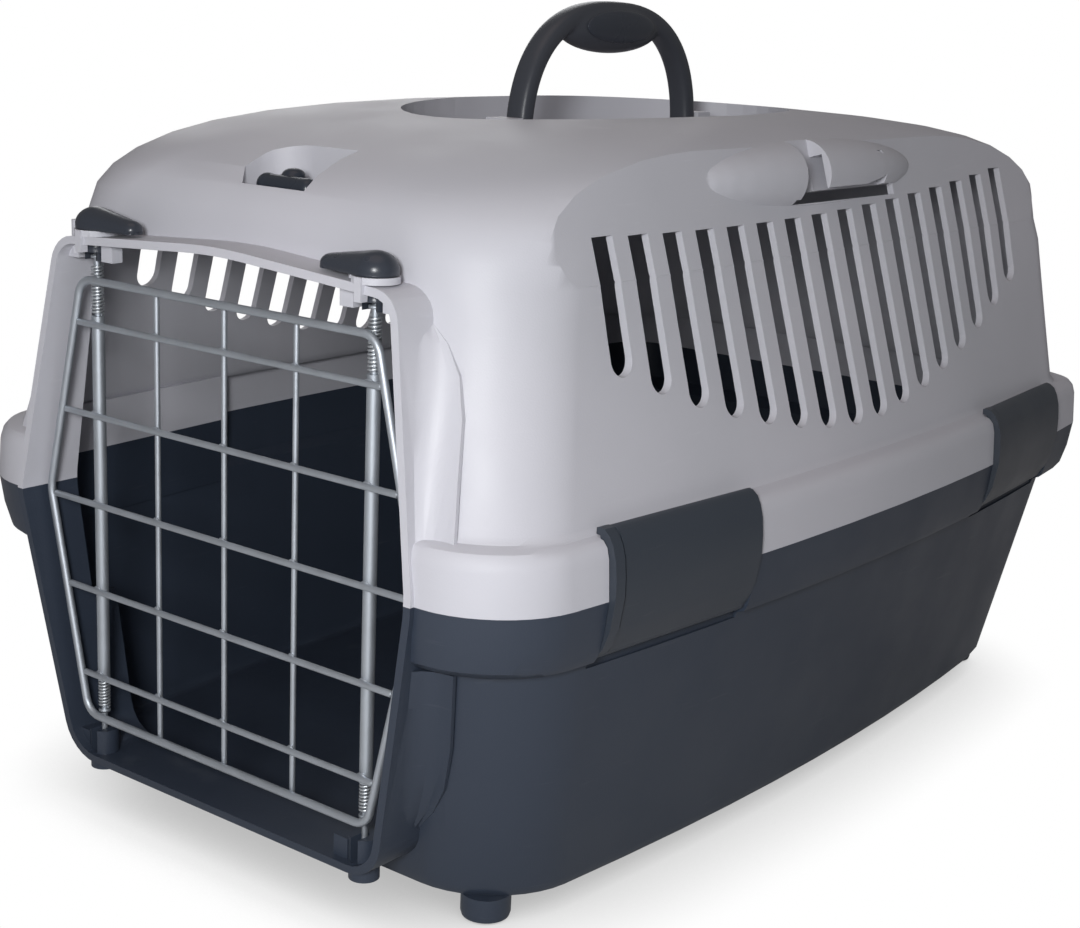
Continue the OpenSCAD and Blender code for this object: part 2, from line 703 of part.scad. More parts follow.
pocket_back_l = 11;
pocket_round = 15;
module hook_pocket(t, sy) {
    a = pocket_half_w + t;
    b = pocket_half_l + t;
    c = pocket_back_l + t;
    r = pocket_round + t;
    mirror([0, sy > 0 ? 1 : 0, 0])
        translate([0, -pocket_y, pocket_floor_z - t])
            linear_extrude(60)
                polygon(concat([[-a, -b * 0.6], [-a * 0.7, -b], [a, -b], [a, c]],
                               [for (i = [0:6]) [-a + r - r * sin(i * 15), c - r + r * cos(i * 15)]]));
}

collar_r = knob_d / 2 + 0.5;
collar_t = 2.4;
collar_z = opening_high_z + jamb_t + 2.3;
retain_d = shaft_d + 1.6;
guide_gap = retain_d / 2 + gap;
rib_w = 3.2;
rib_low_z = opening_high_z - 2.9;

// parts of the door rim that hold one lever: collar, rib in front, stop peg
module lever_seat(sx) {
    translate([0, 0, collar_z - collar_t])
        cylinder(r = collar_r, h = collar_t);
    translate([-rib_w / 2, -collar_r - 0.6, opening_high_z])
        cube([rib_w, collar_r - 2, collar_z - opening_high_z]);
    translate([-rib_w / 2, -collar_r - 0.6, rib_low_z])
        cube([rib_w, collar_r + 0.6 - guide_gap, opening_high_z - rib_low_z + 0.5]);
    peg_x = sx < 0 ? -collar_r - 2.2 : -collar_r - 1.8;
    peg_z = sx < 0 ? collar_z + 2.5 : collar_z - 0.5;
    translate([peg_x, -1, opening_high_z - 5])
        cylinder(d = sx < 0 ? 4 : 2.4, h = peg_z - opening_high_z + 5);
}

// blocks under the door rim on both sides of each lever's shaft
module lever_guides() {
    block_l = 6.4;
    intersection() {
        door_prism(jamb_t / 2, rod_y - 10, rod_y + 10);
        for (sx = [-1, 1])
            for (x = [guide_gap, -guide_gap - block_l - 2.4])
                translate([sx * rod_x + x, rod_y - 2.5, opening_high_z - 6.5])
                    cube([block_l, 5, 8]);
    }
}
knob_z = collar_z + gap / 2;

module top_shell() {
    color(light)
        difference() {
            union() {
                difference() {
                    union() {
                        top_outside();
                        for (m = [0, 1])
                            mirror([m, 0, 0])
                                belt_guide();
                    }
                    difference() {
                        top_cavity();
                        all_clip_places("block");
                        handle_recess(wall, recess_floor_z - wall, roof_z + 10);
                        for (sy = [-1, 1])
                            hook_pocket(wall, sy);
                    }
                    handle_recess(0, recess_floor_z, roof_z + 10);
                    for (sy = [-1, 1])
                        hook_pocket(0, sy);
                    for (i = [0:slot_n - 1])
                        vent_slot((i - (slot_n - 1) / 2) * slot_pitch);
                    for (m = [0, 1])
                        mirror([m, 0, 0])
                            belt_channel();
                    door_prism(jamb_t / 2, jamb_front_y - 20, jamb_back_y + 25);
                }
                door_jamb(seam_z, roof_z);
                door_flare(high_flare);
                hinge_blocks();
                for (sx = [-1, 1])
                    translate([sx * rod_x, rod_y, 0])
                        lever_seat(sx);
                lever_guides();
            }
            all_clip_places("pocket");
            for (sx = [-1, 1]) {
                translate([sx * rod_x, rod_y, opening_high_z - 6])
                    cylinder(d = shaft_d + 2 * fit, h = 40);
                translate([sx * rod_x, rod_y, collar_z])
                    cylinder(r = collar_r + 0.6, h = 14);
            }
            translate([0, 0, hinge_z])
                rotate([90, 0, 0])
                    cylinder(d = stub_d + 2 * fit, h = handle_w + 2 * (stub_l + gap), center = true);
        }
}

// ---- door
tube_low_z = frame_low_z + 14.5;
tube_high_z = frame_high_z - 14.5;
seat_t = 1;
seat_r = tube_d / 2 - 0.1;
lower_seat_z = frame_low_z + 1;
upper_seat_z = tube_high_z + 22.8;
rod_high_z = upper_seat_z + seat_t + 1.2;

frame_path = rounded([
    [door_half_mid, door_mid_z], [door_half_end, frame_high_z], [-door_half_end, frame_high_z],
    [-door_half_mid, door_mid_z], [-door_half_end, frame_low_z], [door_half_end, frame_low_z]
], [14, 8, 8, 14, 8, 8]);

// round wire bent along a closed path in one plane
module wire_loop(path, d) {
    sides = 12;
    n = len(path);
    points = [for (i = [0:n - 1])
        let (ua = path[i] - path[(i + n - 1) % n], ub = path[(i + 1) % n] - path[i],
             along = ua / norm(ua) + ub / norm(ub), u = along / norm(along),
             wide = 1 / (u * (ub / norm(ub))))
        for (k = [0:sides - 1]) let (a = k * 360 / sides)
            [path[i][0] - u[1] * wide * d / 2 * cos(a), path[i][1] + u[0] * wide * d / 2 * cos(a), d / 2 * sin(a)]];
    skin = [for (j = [0:n - 1]) for (k = [0:sides - 1])
        let (a = j * sides + k, b = j * sides + (k + 1) % sides,
             c = ((j + 1) % n) * sides + (k + 1) % sides, e = ((j + 1) % n) * sides + k)
        each [[a, e, c], [a, c, b]]];
    polyhedron(points, skin, convexity = 8);
}

module door_frame_wire() {
    color(zinc)
        translate([0, frame_y, 0])
            rotate([90, 0, 0])
                wire_loop(frame_path, frame_d);
}

// half width of the door at height z, measured to the middle of the frame wire
function frame_half(z) = let (up = z > door_mid_z,
    t = abs(z - door_mid_z) / (up ? frame_high_z - door_mid_z : door_mid_z - frame_low_z))
    lerp(door_half_mid - 0.5, door_half_end, t);

function cross_z(i) = door_mid_z - 2 + (i - (cross_n - 1) / 2) * cross_pitch;

module door_cross_wires() {
    color(zinc)
        for (i = [0:cross_n - 1]) {
            half = frame_half(cross_z(i)) - frame_d / 2 - 0.35;
            translate([-half, cross_y, cross_z(i)])
                rotate([0, 90, 0])
                    cylinder(d = cross_d, h = 2 * half);
        }
}

module door_upright_wires() {
    color(zinc)
        for (i = [-1:1])
            translate([i * thin_pitch, thin_y, frame_low_z])
                cylinder(d = thin_d, h = door_h);
}

module door_tube(sx) {
    color(zinc)
        translate([sx * rod_x, rod_y, tube_low_z])
            difference() {
                cylinder(d = tube_d, h = tube_high_z - tube_low_z);
                translate([0, 0, -1])
                    cylinder(d = rod_d + 2 * fit, h = tube_high_z - tube_low_z + 2);
            }
}

module hinge_rod(sx) {
    color(zinc)
        translate([sx * rod_x, rod_y, 0]) {
            translate([0, 0, rod_low_z])
                cylinder(d = rod_d, h = rod_high_z - rod_low_z);
            translate([0, 0, lower_seat_z])
                cylinder(r = seat_r, h = seat_t);
            translate([0, 0, upper_seat_z])
                cylinder(r = seat_r, h = seat_t);
        }
}

// ---- springs: one round wire along a helix, 6 sides, 8 rings a turn
spring_r = tube_d / 2 - spring_wire / 2;
spring_rings = 8;
spring_sides = 6;
function helix(turns) = [for (i = [0:turns * spring_rings]) let (t = i * 360 / spring_rings)
    [spring_r * cos(t), spring_r * sin(t), spring_pitch * i / spring_rings]];
function section(p, t) = [for (k = [0:spring_sides - 1]) let (a = k * 360 / spring_sides)
    [p[0] + spring_wire / 2 * cos(a) * cos(t), p[1] + spring_wire / 2 * cos(a) * sin(t),
     p[2] + spring_wire / 2 * sin(a)]];

module coil(turns) {
    path = helix(turns);
    rings = len(path);
    points = [for (i = [0:rings - 1]) each section(path[i], i * 360 / spring_rings)];
    s = spring_sides;
    skin = [for (j = [0:rings - 2]) for (k = [0:s - 1])
        let (a = j * s + k, b = j * s + (k + 1) % s) each [[a, a + s, b + s], [a, b + s, b]]];
    ends = [[for (k = [0:s - 1]) k], [for (k = [s - 1:-1:0]) (rings - 1) * s + k]];
    polyhedron(points, concat(skin, ends), convexity = 8);
    turn_gap = min([for (i = [spring_rings:rings - 1]) for (k = [-2:2])
        if (i - spring_rings + k >= 0) norm(path[i] - path[i - spring_rings + k])]) - spring_wire;
    echo("least gap of a spring to itself", turn_gap);
}

upper_turns = floor((upper_seat_z - tube_high_z - spring_wire - 2 * touch) / spring_pitch);
lower_turns = floor((tube_low_z - lower_seat_z - seat_t - spring_wire - 2 * touch) / spring_pitch);

module upper_spring(sx) {
    color(zinc)
        translate([sx * rod_x, rod_y, tube_high_z + spring_wire / 2 + touch])
            coil(upper_turns);
}

module lower_spring(sx) {
    color(zinc)
        translate([sx * rod_x, rod_y, tube_low_z - spring_wire / 2 - touch])
            mirror([0, 0, 1])
                coil(lower_turns);
}

// ---- levers
cup_low_z = upper_seat_z - 0.8;
cup_r = tube_d / 2 + 0.5;
cup_top_z = rod_high_z + gap;
retain_z = opening_high_z - 3.4;

module lever(sx) {
    steps = 8;
    color(dark)
        translate([sx * rod_x, rod_y, 0]) {
            translate([0, 0, knob_z])
                rotate_extrude()
                    polygon(concat([[0, 0], [knob_d / 2, 0]],
                        [for (i = [0:steps]) [knob_d / 2 * cos(i * 90 / steps), 2.4 + 6 * sin(i * 90 / steps)]]));
            translate([0, 0, knob_z])
                linear_extrude(5.4) {
                    polygon([[0, -5.6], [-sx * (arm_l - 5), -4.2], [-sx * (arm_l - 5), 4.2], [0, 5.6]]);
                    translate([-sx * (arm_l - 4.3), 0])
                        circle(4.3);
                }
            difference() {
                union() {
                    translate([0, 0, cup_low_z])
                        cylinder(d = shaft_d, h = knob_z - cup_low_z + 1);
                    translate([0, 0, retain_z])
                        cylinder(d = retain_d, h = 2.2);
                }
                translate([0, 0, cup_low_z - 1])
                    cylinder(r = cup_r, h = cup_top_z - cup_low_z + 1);
                translate([-cup_r - 0.3, -20, cup_low_z - 1])
                    cube([2 * cup_r + 0.6, 20, cup_top_z - cup_low_z + 1]);
            }
        }
}

// ---- carry handle
leg_t = 6.5;
leg_w = 9;
grip_half_l = 41;

arch_power = 2.5;
// outline of the arch in its own plane, drawn in by t at the legs and by top_t at the crown
function arch(t, top_t) = [for (i = [0:36]) let (a = 180 * i / 36, c = cos(a), q = sin(a))
    [sign(c) * (handle_w / 2 - t) * pow(abs(c), 2 / arch_power),
     (handle_h - top_t) * pow(abs(q), 2 / arch_power)]];

module in_handle_plane(w) {
    rotate([90, 0, 90])
        linear_extrude(w, center = true)
            children();
}

module carry_handle() {
    color(dark)
        translate([0, 0, hinge_z]) {
            difference() {
                union() {
                    in_handle_plane(leg_w)
                        difference() {
                            polygon(arch(0, 0));
                            polygon(arch(leg_t, leg_t + 2));
                        }
                    grip_body();
                    for (sy = [-1, 1])
                        translate([0, sy * (handle_w / 2 - leg_t / 2), 0])
                            rotate([90, 0, 0])
                                cylinder(d = leg_w, h = leg_t, center = true);
                    for (sy = [-1, 1])
                        translate([0, sy * (handle_w / 2 + stub_l / 2 - 1), 0])
                            rotate([90, 0, 0])
                                cylinder(d = stub_d, h = stub_l + 2, center = true);
                }
                translate([-grip_w, -grip_half_l + 3, handle_h - grip_t - 1])
                    cube([2 * grip_w, 2 * grip_half_l - 6, grip_t / 2 + 1]);
            }
        }
}

// grip outline seen along the handle's axis of folding
module grip_body() {
    translate([0, 0, handle_h - grip_t / 2])
        rotate([90, 0, 0])
            intersection() {
                linear_extrude(2 * grip_half_l, center = true)
                    round_bar(grip_w, grip_t);
                rotate([0, 90, 0])
                    linear_extrude(grip_w, center = true)
                        polygon(grip_side());
            }
}

// rounded bar section
module round_bar(w, t) {
    r = w / 2;
    translate([0, -t / 2 + r])
        circle(r);
    translate([0, t / 2 - r])
        circle(r);
    square([w, t - 2 * r], center = true);
}

function grip_side() = rounded([
    [grip_t / 2 - 3, -grip_half_l], [grip_t / 2, -12], [grip_t / 2, 12], [grip_t / 2 - 3, grip_half_l],
    [-grip_t / 2 + 2, grip_half_l], [-grip_t / 2, 20], [-grip_t / 2, -20], [-grip_t / 2 + 2, -grip_half_l]
], [2, 20, 20, 2, 2, 20, 20, 2]);

// lower half of the grip, which closes the handle from below
module handle_grip() {
    color(dark)
        translate([0, 0, hinge_z])
            intersection() {
                grip_body();
                translate([-grip_w, -grip_half_l + 3, handle_h - grip_t - 1])
                    cube([2 * grip_w, 2 * grip_half_l - 6, grip_t / 2 + 1]);
            }
}

// ---- strap hooks
hook_foot_w = 22;
hook_foot_l = 12;
hook_foot_t = 2.4;
hook_post_d = 9;
hook_bar_t = 6;
hook_bar_w = 9;
hook_bar_low = 4;
hook_bar_l = 26;
hook_post_h = 13;
hook_side = 13;
module strap_hook(sy) {
    color(dark)
        mirror([0, sy > 0 ? 1 : 0, 0])
            translate([0, -pocket_y - 7, pocket_floor_z]) {
                translate([-9, -hook_foot_l / 2, 0])
                    cube([hook_foot_w, hook_foot_l, hook_foot_t]);
                translate([0, 3, 0])
                    cylinder(d = hook_post_d, h = hook_post_h);
                translate([0, -2, hook_bar_low])
                    linear_extrude(hook_bar_t) {
                        translate([-hook_side + hook_bar_w / 2, 0])
                            circle(d = hook_bar_w);
                        translate([-hook_side + hook_bar_w / 2, -hook_bar_w / 2])
                            square([hook_bar_l, hook_bar_w]);
                    }
            }
}

base_tray();
top_shell();
side_clip(1, -1);  // clip_front_right
side_clip(1, 1);  // clip_rear_right
side_clip(-1, -1);  // clip_front_left
side_clip(-1, 1);  // clip_rear_left
door_frame_wire();
door_cross_wires();
door_upright_wires();
door_tube(-1);  // door_tube_left
door_tube(1);  // door_tube_right
hinge_rod(-1);  // hinge_rod_left
hinge_rod(1);  // hinge_rod_right
upper_spring(-1);  // spring_upper_left
upper_spring(1);  // spring_upper_right
lower_spring(-1);  // spring_lower_left
lower_spring(1);  // spring_lower_right
lever(-1);  // lever_left
lever(1);  // lever_right
carry_handle();
handle_grip();
strap_hook(-1);  // strap_hook_front
strap_hook(1);  // strap_hook_rear
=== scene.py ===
# %% [markdown]
# # A small plastic pet carrier
#
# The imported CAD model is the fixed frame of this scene: every shell, wire and lever already sits
# in its place, in metres, with +Z up and the wire door facing -Y. The cells below dress it: soft
# moulded edges on the shells, a rounded carry handle, door levers, real springs, moulding details,
# and procedural materials for satin polypropylene and zinc-plated wire.

# %% Load the frame
import json
import math

import bpy
from mathutils import Matrix, Vector


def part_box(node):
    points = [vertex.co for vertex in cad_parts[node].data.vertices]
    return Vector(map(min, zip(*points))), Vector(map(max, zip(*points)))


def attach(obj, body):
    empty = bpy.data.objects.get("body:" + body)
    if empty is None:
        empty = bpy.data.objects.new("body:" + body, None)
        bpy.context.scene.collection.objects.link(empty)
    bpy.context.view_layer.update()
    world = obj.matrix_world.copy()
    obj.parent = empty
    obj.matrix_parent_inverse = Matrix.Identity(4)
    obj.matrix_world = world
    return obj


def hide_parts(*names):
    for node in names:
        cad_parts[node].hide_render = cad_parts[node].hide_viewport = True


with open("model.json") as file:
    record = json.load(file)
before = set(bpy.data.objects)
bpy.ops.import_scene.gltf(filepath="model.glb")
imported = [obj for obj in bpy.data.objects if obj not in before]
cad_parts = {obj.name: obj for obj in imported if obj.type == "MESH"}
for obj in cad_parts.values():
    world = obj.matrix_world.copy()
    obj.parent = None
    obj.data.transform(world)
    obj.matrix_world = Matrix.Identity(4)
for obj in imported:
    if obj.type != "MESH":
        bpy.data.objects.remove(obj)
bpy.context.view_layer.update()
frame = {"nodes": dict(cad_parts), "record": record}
MM = 0.001
PIECE_ANGLE, WIRE_ANGLE = 60, 50
bodies = frame["record"]["behaviour"]["bodies"]
body_of_node = {node: body for body, nodes in bodies.items() for node in nodes}

# %% [markdown]
# ## Small helpers
#
# Every operator acts on what is selected, so each step starts by selecting exactly one thing. A
# finished piece keeps its object at the origin and its place in its mesh, because the materials
# read object coordinates.

# %% Selecting, applying and finishing
def only(obj):
    bpy.ops.object.select_all(action="DESELECT")
    obj.select_set(True)
    bpy.context.view_layer.objects.active = obj


def place_in_mesh(obj):
    only(obj)
    bpy.ops.object.transform_apply(location=True, rotation=True, scale=True)
    return obj


def edit_whole(obj):
    """Edit mode on one object, with its whole mesh selected."""
    only(obj)
    bpy.ops.object.mode_set(mode="EDIT")
    bpy.ops.mesh.select_all(action="SELECT")


def apply_modifier(obj, kind, **settings):
    only(obj)
    modifier = obj.modifiers.new(kind.title(), kind)
    for key, value in settings.items():
        setattr(modifier, key, value)
    bpy.ops.object.modifier_apply(modifier=modifier.name)


def smooth(obj, degrees):
    only(obj)
    bpy.ops.object.shade_smooth_by_angle(angle=math.radians(degrees))


def join(name, *objs):
    only(objs[0])
    for obj in objs[1:]:
        obj.select_set(True)
    bpy.ops.object.join()
    bpy.context.object.name = name
    return place_in_mesh(bpy.context.object)


def melt(obj, voxel, rounds):
    """Wraps overlapping parts in one even skin and rounds the joints between them."""
    apply_modifier(obj, "REMESH", mode="VOXEL", voxel_size=voxel * MM)
    apply_modifier(obj, "SMOOTH", factor=0.5, iterations=rounds)
    smooth(obj, PIECE_ANGLE)


def finish_piece(obj, material, body):
    obj.data.materials.clear()
    obj.data.materials.append(material)
    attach(obj, body)


# %% A softened copy of a CAD node
MERGE_DISTANCE = 0.00001


def soften(node, name, bevel=0.0, segments=2, angle=32):
    """A merged copy of a CAD node, which stands for it; the bevel is in mm and 0 leaves it out."""
    obj = frame["nodes"][node].copy()
    obj.data = frame["nodes"][node].data.copy()
    obj.parent = None
    obj.name = name
    for key in list(obj.keys()):
        del obj[key]
    bpy.context.scene.collection.objects.link(obj)
    edit_whole(obj)
    bpy.ops.mesh.remove_doubles(threshold=MERGE_DISTANCE)
    bpy.ops.object.mode_set(mode="OBJECT")
    if bevel:
        apply_modifier(obj, "BEVEL", width=bevel * MM, segments=segments, limit_method="ANGLE",
                       angle_limit=math.radians(angle))
    smooth(obj, angle)
    apply_modifier(obj, "WEIGHTED_NORMAL", mode="FACE_AREA", weight=60, keep_sharp=True)
    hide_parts(node)
    print(name, "has", len(obj.data.polygons), "faces")
    return obj


# %% [markdown]
# ## Camera
#
# The photograph was taken from the front right, a little above the roof line, with the camera
# turned slightly about its own axis. The same place and lens here give the same perspective.

# %% Camera
CAMERA_AT = Vector((496.4, -679.6, 330.5)) * MM
CAMERA_AZIMUTH, CAMERA_ELEVATION, CAMERA_ROLL = 37.69, 14.1, 2.48
FOCAL_LENGTH = 61.15

bpy.ops.object.camera_add(location=CAMERA_AT)
camera = bpy.context.object
camera.rotation_mode = "QUATERNION"
turn = (Matrix.Rotation(math.radians(CAMERA_AZIMUTH), 3, "Z")
        @ Matrix.Rotation(math.radians(90 - CAMERA_ELEVATION), 3, "X")
        @ Matrix.Rotation(math.radians(CAMERA_ROLL), 3, "Z"))
camera.rotation_quaternion = turn.to_quaternion()
camera.data.sensor_width = 36
camera.data.lens = FOCAL_LENGTH
camera.data.clip_start, camera.data.clip_end = 0.01, 50
bpy.context.scene.camera = camera
print("camera at", CAMERA_AT, "with a lens of", FOCAL_LENGTH, "mm")


# %% [markdown]
# ## Materials
#
# Both shells are injection-moulded polypropylene: a satin surface with a very fine spark-eroded
# grain, faint flow marks and a few scuffs. A single noise would look like stone, so the grain only
# bends the light while the colour stays nearly even.

# %% Moulded plastic
def moulded_plastic(name, colour, roughness, grain, scuffs, warm=0.0):
    mat = bpy.data.materials.new(name)
    mat.use_nodes = True
    nodes, links = mat.node_tree.nodes, mat.node_tree.links
    shader = nodes["Principled BSDF"]
    shader.inputs["Specular IOR Level"].default_value = 0.42
    place = nodes.new("ShaderNodeTexCoord")

    def noise(scale, detail, stretch=(1, 1, 1)):
        mapping = nodes.new("ShaderNodeMapping")
        mapping.inputs["Scale"].default_value = stretch
        links.new(place.outputs["Object"], mapping.inputs["Vector"])
        tex = nodes.new("ShaderNodeTexNoise")
        tex.inputs["Scale"].default_value = scale
        tex.inputs["Detail"].default_value = detail
        links.new(mapping.outputs["Vector"], tex.inputs["Vector"])
        return tex.outputs["Fac"]

    def ramp(source, low, high, start=0.0, end=1.0):
        node = nodes.new("ShaderNodeMapRange")
        node.inputs["From Min"].default_value = low
        node.inputs["From Max"].default_value = high
        node.inputs["To Min"].default_value = start
        node.inputs["To Max"].default_value = end
        links.new(source, node.inputs["Value"])
        return node.outputs["Result"]

    def mix(factor, first, second):
        node = nodes.new("ShaderNodeMix")
        node.data_type = "RGBA"
        links.new(factor, node.inputs["Factor"])
        for socket, value in ((node.inputs["A"], first), (node.inputs["B"], second)):
            if isinstance(value, tuple):
                socket.default_value = value
            else:
                links.new(value, socket)
        return node.outputs["Result"]

    shade = tuple(c * 0.93 for c in colour) + (1,)
    lift = (1.04 + warm * 0.02, 1.04, 1.04)
    lit = tuple(min(1, c * k) for c, k in zip(colour, lift)) + (1,)
    rubbed = tuple(min(1, c + (1 - c) * 0.22) for c in colour) + (1,)
    flow = ramp(noise(6, 3), 0.3, 0.7)
    base = mix(flow, shade, lit)
    marks = ramp(noise(38, 6, (1, 1, 14)), 0.66, 0.78, 0, scuffs)
    base = mix(marks, base, rubbed)
    links.new(base, shader.inputs["Base Color"])
    gloss = ramp(noise(24, 4), 0.3, 0.7, roughness - 0.05, roughness + 0.07)
    links.new(gloss, shader.inputs["Roughness"])
    bump = nodes.new("ShaderNodeBump")
    bump.inputs["Strength"].default_value = grain
    bump.inputs["Distance"].default_value = 0.0003
    links.new(noise(1500, 2), bump.inputs["Height"])
    waves = nodes.new("ShaderNodeBump")
    waves.inputs["Strength"].default_value = 0.08
    waves.inputs["Distance"].default_value = 0.002
    links.new(noise(22, 2), waves.inputs["Height"])
    links.new(bump.outputs["Normal"], waves.inputs["Normal"])
    links.new(waves.outputs["Normal"], shader.inputs["Normal"])
    return mat


LIGHT_GREY = (0.525, 0.53, 0.575)
SLATE = (0.032, 0.042, 0.063)
DARK_SLATE = (0.046, 0.050, 0.061)
CLIP_SLATE = (0.036, 0.044, 0.058)
LEVER_SLATE = (0.034, 0.039, 0.051)
HOOK_SLATE = (0.026, 0.031, 0.042)

shell_plastic = moulded_plastic("shell_plastic", LIGHT_GREY, roughness=0.50, grain=0.14,
                                scuffs=0.25, warm=1.0)
tray_plastic = moulded_plastic("tray_plastic", SLATE, roughness=0.42, grain=0.16, scuffs=0.10)
clip_plastic = moulded_plastic("clip_plastic", CLIP_SLATE, roughness=0.38, grain=0.10, scuffs=0.12)
handle_plastic = moulded_plastic("handle_plastic", DARK_SLATE, roughness=0.36, grain=0.08,
                                 scuffs=0.08)
lever_plastic = moulded_plastic("lever_plastic", LEVER_SLATE, roughness=0.30, grain=0.05,
                                scuffs=0.06)
hook_plastic = moulded_plastic("hook_plastic", HOOK_SLATE, roughness=0.28, grain=0.05, scuffs=0.06)


# %% [markdown]
# The wires are drawn steel with zinc plating. It is mostly metallic, slightly bluish and fairly
# matte, and cloudy patches vary its colour and its gloss.

# %% Zinc plating
def zinc_plate(name, colour, roughness):
    mat = bpy.data.materials.new(name)
    mat.use_nodes = True
    nodes, links = mat.node_tree.nodes, mat.node_tree.links
    shader = nodes["Principled BSDF"]
    shader.inputs["Metallic"].default_value = 0.85
    place = nodes.new("ShaderNodeTexCoord")
    clouds = nodes.new("ShaderNodeTexNoise")
    clouds.inputs["Scale"].default_value = 90
    clouds.inputs["Detail"].default_value = 5
    links.new(place.outputs["Object"], clouds.inputs["Vector"])
    tint = nodes.new("ShaderNodeMix")
    tint.data_type = "RGBA"
    tint.inputs["A"].default_value = tuple(c * 0.8 for c in colour) + (1,)
    tint.inputs["B"].default_value = tuple(colour) + (1,)
    links.new(clouds.outputs["Fac"], tint.inputs["Factor"])
    links.new(tint.outputs["Result"], shader.inputs["Base Color"])
    dull = nodes.new("ShaderNodeMapRange")
    dull.inputs["To Min"].default_value = roughness - 0.07
    dull.inputs["To Max"].default_value = roughness + 0.13
    links.new(clouds.outputs["Fac"], dull.inputs["Value"])
    links.new(dull.outputs["Result"], shader.inputs["Roughness"])
    fine = nodes.new("ShaderNodeTexNoise")
    fine.inputs["Scale"].default_value = 1800
    links.new(place.outputs["Object"], fine.inputs["Vector"])
    bump = nodes.new("ShaderNodeBump")
    bump.inputs["Strength"].default_value = 0.08
    bump.inputs["Distance"].default_value = 0.0002
    links.new(fine.outputs["Fac"], bump.inputs["Height"])
    links.new(bump.outputs["Normal"], shader.inputs["Normal"])
    return mat


zinc_wire = zinc_plate("zinc_wire", (0.56, 0.60, 0.65), 0.50)
spring_steel = zinc_plate("spring_steel", (0.66, 0.69, 0.72), 0.38)

# %% [markdown]
# ## Shells and clips
#
# A mould never leaves a knife edge. The CAD solids have exact corners, so copies of them get small
# rounded edges, which catch the light along the vent slots, the rim and the clips.

# %% Shells
SHELL_BEVEL, CLIP_BEVEL, TUBE_BEVEL = 0.7, 0.8, 0.15
top = soften("top_shell", "top_shell_moulding", bevel=SHELL_BEVEL)
finish_piece(top, shell_plastic, "carrier")
tray = soften("base_tray", "base_tray_moulding", bevel=SHELL_BEVEL)
finish_piece(tray, tray_plastic, "carrier")

# %% Clips
for node in ("clip_front_right", "clip_rear_right", "clip_front_left", "clip_rear_left"):
    clip = soften(node, node + "_moulding", bevel=CLIP_BEVEL, segments=3, angle=28)
    finish_piece(clip, clip_plastic, body_of_node[node])

# %% [markdown]
# ## Wire door
#
# The grille keeps the CAD wires. Merged copies are shaded smooth, so that each wire reads as
# round, and small beads stand where the wires are spot-welded to one another.

# %% Grille and hinge tubes
for node in ("door_frame_wire", "door_cross_wires", "door_upright_wires", "door_tube_left",
             "door_tube_right", "hinge_rod_left", "hinge_rod_right"):
    bevel = TUBE_BEVEL if node.startswith("door_tube") else 0
    wire = soften(node, node + "_drawn", bevel=bevel, angle=WIRE_ANGLE)
    finish_piece(wire, zinc_wire, body_of_node[node])

# %% [markdown]
# Each spring is one round wire wound round its rod. The Screw modifier turns a small circle about
# the rod's axis and lifts it by one pitch each turn.

# %% Springs
SPRING_WIRE, SPRING_PITCH = 1.0 * MM, 1.35 * MM
TURN_STEPS = 28
for node in ("spring_upper_left", "spring_upper_right", "spring_lower_left", "spring_lower_right"):
    low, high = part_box(node)
    axis_x, axis_y = (low.x + high.x) / 2, (low.y + high.y) / 2
    coil_r = (high.x - low.x) / 2 - SPRING_WIRE / 2
    bpy.ops.object.select_all(action="DESELECT")
    bpy.ops.mesh.primitive_circle_add(vertices=12, radius=SPRING_WIRE / 2,
                                      location=(coil_r, 0, 0), rotation=(math.pi / 2, 0, 0))
    spring = place_in_mesh(bpy.context.object)
    turns = (high.z - low.z - SPRING_WIRE) / SPRING_PITCH
    apply_modifier(spring, "SCREW", axis="Z", angle=2 * math.pi * turns,
                   screw_offset=high.z - low.z - SPRING_WIRE, steps=int(TURN_STEPS * turns),
                   render_steps=int(TURN_STEPS * turns), iterations=1, use_smooth_shade=True)
    spring.location = (axis_x, axis_y, low.z + SPRING_WIRE / 2)
    place_in_mesh(spring)
    edit_whole(spring)
    bpy.ops.mesh.fill_holes(sides=0)
    bpy.ops.mesh.normals_make_consistent(inside=False)
    bpy.ops.object.mode_set(mode="OBJECT")
    smooth(spring, WIRE_ANGLE)
    spring.name = node + "_coil"
    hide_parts(node)
    finish_piece(spring, spring_steel, body_of_node[node])

# %% [markdown]
# ## Carry handle
#
# The real handle is one soft-edged moulding: a flat bar bent into an arch, with a grip that swells
# out below it. A curve with a rounded bar as its section gives the arch, a stretched ball gives the
# grip, and a fine remesh melts them together the way a mould does.

# %% Handle sizes
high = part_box("carry_handle")[1]
HINGE_Z = 270 * MM
HANDLE_HALF, HANDLE_H = 66.5 * MM, high.z - HINGE_Z
LEG_T, LEG_W = 8.8 * MM, 11.4 * MM
ARCH_STEPS, ARCH_POWER = 72, 2.5
SECTION_FULLNESS = 1.4
GRIP_HALF = Vector((9.2, 37, 11.2)) * MM
GRIP_AT = Vector((0, -1 * MM, high.z - 11.4 * MM))


def arch_point(t):
    """A point of the arch's middle line; t runs from 0 at the front hinge to 1 at the rear one."""
    c, s = math.cos(math.pi * (1 - t)), math.sin(math.pi * (1 - t))
    across = (HANDLE_HALF - LEG_T / 2) * abs(c) ** (2 / ARCH_POWER)
    up = (HANDLE_H - LEG_T / 2) * abs(s) ** (2 / ARCH_POWER)
    return Vector((0, math.copysign(across, c), HINGE_Z + up))


